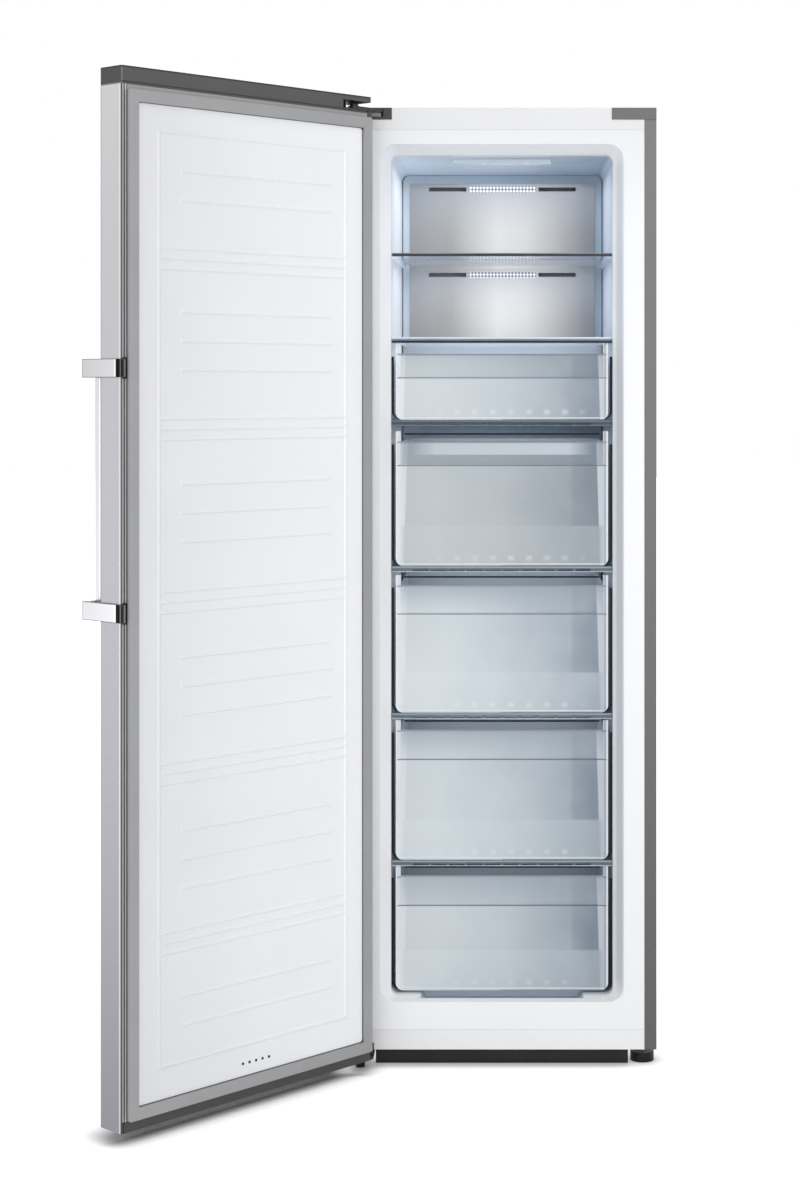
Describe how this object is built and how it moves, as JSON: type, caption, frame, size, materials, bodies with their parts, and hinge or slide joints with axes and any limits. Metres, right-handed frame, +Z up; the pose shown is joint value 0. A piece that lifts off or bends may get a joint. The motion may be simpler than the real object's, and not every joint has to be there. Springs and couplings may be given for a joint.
{
  "type": "upright freezer",
  "caption": "Tall free-standing freezer with a hinged stainless door standing open, a bar handle, glass shelves and clear pull-out drawers.",
  "frame": {"origin": "centre of the whole object's box on the floor, with the door open as in the picture", "axes": "+Z up, the cabinet's front and its drawers face -Y, the door is hinged on the -X side of the cabinet"},
  "size_m": [1.0264, 1.0842, 1.8603],
  "materials": {
    "case_paint": "satin grey paint",
    "white_paint": "smooth white paint",
    "liner": "smooth white thermoformed plastic",
    "foam": "rigid closed-cell foam",
    "galvanised": "zinc-coated sheet",
    "dark_plastic": "dark grey satin plastic",
    "black_plastic": "black moulded plastic",
    "black_steel": "black coated steel",
    "black_paint": "black paint",
    "stainless": "fine brushed stainless",
    "chrome": "bright polished",
    "glass": "clear toughened glass",
    "shelf_trim": "clear bluish plastic",
    "clear_plastic": "clear bluish plastic",
    "gasket": "soft grey vinyl",
    "white_plastic": "white moulded plastic",
    "lens": "translucent white",
    "circuit": "green lacquered board",
    "aluminium": "bare rolled fins",
    "copper": "bare copper tube"
  },
  "bodies": {
    "cabinet": {"outer_case": "case_paint", "back_panel": "galvanised", "inner_liner": "liner", "insulation_foam": "foam", "top_rail": "white_paint", "bottom_rail": "white_paint", "corner_cover": "dark_plastic", "hinge_cover": "dark_plastic", "top_hinge": "black_steel", "bottom_hinge": "galvanised", "base_plate": "galvanised", "plinth": "black_plastic", "rear_grille": "black_paint", "control_box": "white_plastic", "compressor": "black_paint", "drip_tray": "black_plastic", "condenser_coil": "copper", "duct_cover": "white_plastic", "duct_panel": "stainless", "evaporator": "aluminium", "fan_motor": "black_plastic", "lamp_lens": "lens", "lamp_board": "circuit", "shelf_1_glass": "glass", "shelf_2_glass": "glass", "shelf_3_glass": "glass", "shelf_4_glass": "glass", "shelf_5_glass": "glass", "shelf_6_glass": "glass", "shelf_1_trim": "shelf_trim", "shelf_2_trim": "shelf_trim", "shelf_3_trim": "shelf_trim", "shelf_4_trim": "shelf_trim", "shelf_5_trim": "shelf_trim", "shelf_6_trim": "shelf_trim"},
    "door": {"door_skin": "stainless", "door_top_cap": "dark_plastic", "door_bottom_cap": "black_plastic", "door_hinge_plate": "black_steel", "door_liner": "liner", "door_foam": "foam", "door_gasket": "gasket", "handle_bracket_upper": "chrome", "handle_bracket_lower": "chrome", "handle_bar": "stainless"},
    "drawer_1": {"drawer_1_tub": "clear_plastic", "drawer_1_front": "clear_plastic"},
    "drawer_2": {"drawer_2_tub": "clear_plastic", "drawer_2_front": "clear_plastic"},
    "drawer_3": {"drawer_3_tub": "clear_plastic", "drawer_3_front": "clear_plastic"},
    "drawer_4": {"drawer_4_tub": "clear_plastic", "drawer_4_front": "clear_plastic"},
    "drawer_5": {"drawer_5_tub": "clear_plastic", "drawer_5_front": "clear_plastic"},
    "foot_left": {"front_foot_left": "black_plastic"},
    "foot_right": {"front_foot_right": "black_plastic"},
    "roller_left": {"rear_roller_left": "black_plastic"},
    "roller_right": {"rear_roller_right": "black_plastic"},
    "fan": {"fan_rotor": "white_plastic"}
  },
  "joints": [
    {"name": "door_hinge", "type": "hinge", "parent": "cabinet", "child": "door", "pos_m": [-0.06585, -0.08768, 1.841], "axis": [0, 0, -1], "range_deg": [-132.5, 0]},
    {"name": "drawer_1_slide", "type": "slide", "parent": "cabinet", "child": "drawer_1", "axis": [0, -1, 0], "range_m": [0, 0.32]},
    {"name": "drawer_2_slide", "type": "slide", "parent": "cabinet", "child": "drawer_2", "axis": [0, -1, 0], "range_m": [0, 0.32]},
    {"name": "drawer_3_slide", "type": "slide", "parent": "cabinet", "child": "drawer_3", "axis": [0, -1, 0], "range_m": [0, 0.32]},
    {"name": "drawer_4_slide", "type": "slide", "parent": "cabinet", "child": "drawer_4", "axis": [0, -1, 0], "range_m": [0, 0.32]},
    {"name": "drawer_5_slide", "type": "slide", "parent": "cabinet", "child": "drawer_5", "axis": [0, -1, 0], "range_m": [0, 0.2]},
    {"name": "foot_left_turn", "type": "hinge", "parent": "cabinet", "child": "foot_left", "pos_m": [-0.05735, -0.03388, 0.02], "axis": [0, 0, 1], "continuous": true},
    {"name": "foot_right_turn", "type": "hinge", "parent": "cabinet", "child": "foot_right", "pos_m": [0.48865, 0.01412, 0.02], "axis": [0, 0, 1], "continuous": true},
    {"name": "roller_left_spin", "type": "hinge", "parent": "cabinet", "child": "roller_left", "pos_m": [-0.03435, 0.49112, 0.017], "axis": [1, 0, 0], "continuous": true},
    {"name": "roller_right_spin", "type": "hinge", "parent": "cabinet", "child": "roller_right", "pos_m": [0.46565, 0.49112, 0.017], "axis": [1, 0, 0], "continuous": true},
    {"name": "fan_spin", "type": "hinge", "parent": "cabinet", "child": "fan", "pos_m": [0.21565, 0.43762, 1.13], "axis": [0, 1, 0], "continuous": true}
  ]
}
